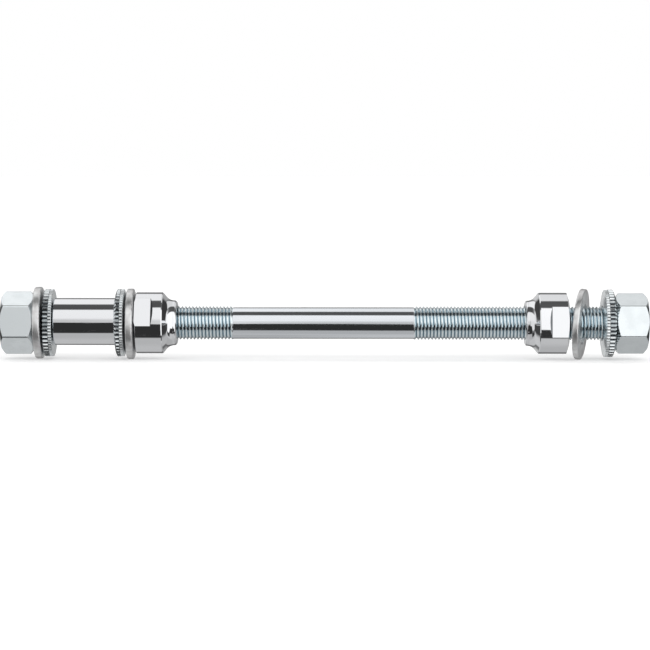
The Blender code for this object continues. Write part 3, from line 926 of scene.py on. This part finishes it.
low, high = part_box("spacer_tube")
low.x -= BACK_INSET
high.x += FACE_INSET + SPACER_INTO_RING
half = (high.x - low.x) / 2
outside = (high.z - low.z) / 2
inside = outside - SPACER_WALL
shape = spun(
    [
        (-half, inside + SPACER_EDGE), (-half, outside - SPACER_EDGE), (SPACER_EDGE - half, outside),
        (half - SPACER_EDGE, outside), (half, outside - SPACER_EDGE), (half, inside + SPACER_EDGE),
        (half - SPACER_EDGE, inside), (SPACER_EDGE - half, inside),
    ]
)
tube = finished("chromed_spacer_tube", shape, Matrix.Translation((low + high) / 2))
stand_for(tube, "spacer_tube", "axle", CHROME)
print("spacer radius in mm:", round(outside / MM, 2))

# %% [markdown]
# ## Bearing cones
# The balls of a hub run in the hollow curve of each cone, so that curve is a true arc, a little
# larger than the ball. Behind it stands a cylinder with two flats for a thin spanner. The flats
# are milled, and the mill leaves a slanted run-out where it lifts. A Boolean with a wedge-ended
# block cuts the same shape, and the cut mesh is kept without its cutter. Each row below gives a
# cone's node, the side that its back faces, its flats' length and lean, the chamfer at its back
# (along and fall), where its nose starts and how round the nose is.

# %% Cone helpers
CONE_FLAT_DEPTH = 1.14 * MM
CONE_NOSE_WALL = 1.3575 * MM
RACE_RADIUS = 2.8 * MM
RACE_RISE = 50.0
FLAT_RUNOUT = math.radians(58.0)
CONE_EDGE = 0.22 * MM
SHOULDER_WIDTH = 0.28 * MM
SHOULDER_FALL = 0.13 * MM
CONE_BORE_CHAMFER = 0.35 * MM
WELD = 0.001 * MM
SAME_SLOPE = 0.01
CONES = (
    ("cone_left", -1.0, 4.6 * MM, math.radians(27.5), 0.4 * MM, 0.6 * MM, 0.0, 0.9 * MM),
    ("cone_right", 1.0, 5.0 * MM, math.radians(6.1), 0.55 * MM, 1.7 * MM, 0.65 * MM, 0.55 * MM),
)


def cone_profile(length, radius, along, fall, start, rounding):
    """Half a cone's section, with its rounded nose at x = start."""
    nose = BORE_RADIUS + CONE_NOSE_WALL
    points = [(start, BORE_RADIUS + CONE_BORE_CHAMFER)]
    points += arc((start + rounding, nose - rounding), rounding, 180.0, 90.0, 8)
    points += arc((start + rounding, nose + RACE_RADIUS), RACE_RADIUS, -90.0, RACE_RISE - 90.0, 16)[1:]
    x, r = points[-1]
    rise = radius - SHOULDER_FALL - r
    points.append((x + rise / math.tan(math.radians(RACE_RISE)), r + rise))
    points.append((points[-1][0] + SHOULDER_WIDTH, radius))
    points += [(length - along, radius), (length, radius - fall)]
    points += [(length, BORE_RADIUS + CONE_BORE_CHAMFER), (length - CONE_BORE_CHAMFER, BORE_RADIUS)]
    points.append((start + CONE_BORE_CHAMFER, BORE_RADIUS))
    return points


def spanner_flat(length, flat, radius, direction, side):
    """A wedge-ended block that mills one flat from the back of a cone."""
    reach = radius * 1.3
    low = radius - CONE_FLAT_DEPTH
    outline = [
        (length - flat, low), (length + MM, low), (length + MM, reach),
        (length - flat - (reach - low) / math.tan(FLAT_RUNOUT), reach),
    ]
    block = bmesh.new()
    corners = [block.verts.new((direction * x, side * y, -radius)) for x, y in outline]
    grown = bmesh.ops.extrude_face_region(block, geom=[block.faces.new(corners)])
    far = [item for item in grown["geom"] if isinstance(item, bmesh.types.BMVert)]
    bmesh.ops.translate(block, verts=far, vec=(0.0, 0.0, 2 * radius))
    bmesh.ops.recalc_face_normals(block, faces=block.faces)
    return block


def loose_object(shape):
    """A scratch object for the Booleans."""
    mesh = bpy.data.meshes.new("scratch")
    shape.to_mesh(mesh)
    shape.free()
    made = bpy.data.objects.new("scratch", mesh)
    bpy.context.collection.objects.link(made)
    return made


def milled(shape, blocks):
    """Cut the blocks from a shape by exact Booleans and return the cut shape."""
    target = loose_object(shape)
    tools = [loose_object(block) for block in blocks]
    for tool in tools:
        cut = target.modifiers.new("cut", "BOOLEAN")
        cut.object = tool
        cut.operation = "DIFFERENCE"
        cut.solver = "EXACT"
    kept = bmesh.new()
    kept.from_object(target, bpy.context.evaluated_depsgraph_get())
    for used in [target] + tools:
        bpy.data.objects.remove(used)
    bmesh.ops.remove_doubles(kept, verts=kept.verts, dist=WELD)
    kept.normal_update()
    # The run-out faces are marked here for the painted dark reflection in the chrome.
    mill = kept.faces.layers.float.new("milled")
    for face in kept.faces:
        off_slope = abs(abs(face.normal.x) - math.sin(FLAT_RUNOUT))
        face[mill] = float(off_slope < SAME_SLOPE and abs(face.normal.z) < SAME_SLOPE)
    return kept


print("race radius in mm:", round(RACE_RADIUS / MM, 2))

# %% [markdown]
# ## Cutting the cones
# Each cone is spun with its nose at the origin, milled on both sides and then moved to its place.
# Its flats lean by their own angle. The Bevel modifier breaks its edges last, after the cuts, so
# that the milled edges get the same small rounding as the turned ones.

# %% Cutting the cones
for node, direction, flat, lean, along, fall, start, rounding in CONES:
    low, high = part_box(node)
    length = high.x - low.x
    radius = (high.z - low.z) / 2
    profile = cone_profile(length, radius, along, fall, start, rounding)
    shape = spun([(direction * x, r) for x, r in profile])
    blocks = [spanner_flat(length, flat, radius, direction, side) for side in (-1.0, 1.0)]
    shape = milled(shape, blocks)
    nose = low.x if direction > 0 else high.x
    place = on_axis(nose) @ Matrix.Rotation(-lean, 4, "X")
    cone = finished("bearing_" + node, shape, place, edge=CONE_EDGE, edge_limit=20.0)
    stand_for(cone, node, node, CHROME)
    print(node, "length in mm:", round(length / MM, 2))
